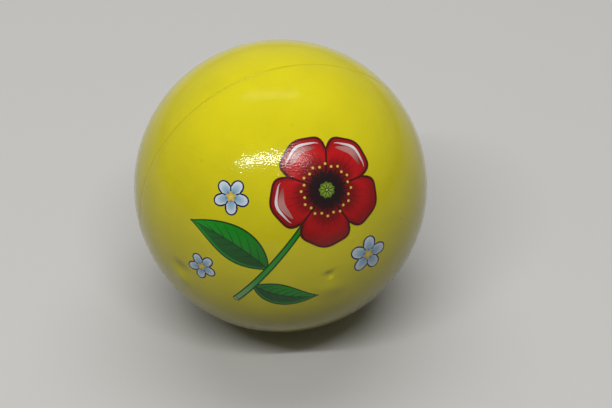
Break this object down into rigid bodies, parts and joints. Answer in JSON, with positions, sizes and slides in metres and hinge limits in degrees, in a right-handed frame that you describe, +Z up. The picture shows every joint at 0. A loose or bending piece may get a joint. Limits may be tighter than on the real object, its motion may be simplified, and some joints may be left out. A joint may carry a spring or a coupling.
{
  "type": "foam toy ball",
  "caption": "Soft round foam ball with a tough satin coat, a fine mould line and a flower print; for squeezing, throwing and catching.",
  "frame": {"origin": "centre of the ball", "axes": "+Z up as the ball lies in the picture; the mould's parting plane is y = 0; -Y points out of the front half, at its vent mark, and the print sits above and to the left of that mark"},
  "size_m": [0.063, 0.063, 0.063],
  "materials": {
    "foam": "matte",
    "coat": "satin",
    "dark_ink": "gloss",
    "red_ink": "gloss",
    "green_ink": "gloss",
    "blue_ink": "gloss"
  },
  "bodies": {
    "root": {"foam_core": "foam", "skin_front": "coat", "skin_back": "coat", "ink_poppy_heart": "dark_ink", "ink_poppy_petals": "red_ink", "ink_stem_and_leaves": "green_ink", "ink_blue_flower_upper": "blue_ink", "ink_blue_flower_right": "blue_ink", "ink_blue_flower_left": "blue_ink"}
  },
  "joints": []
}
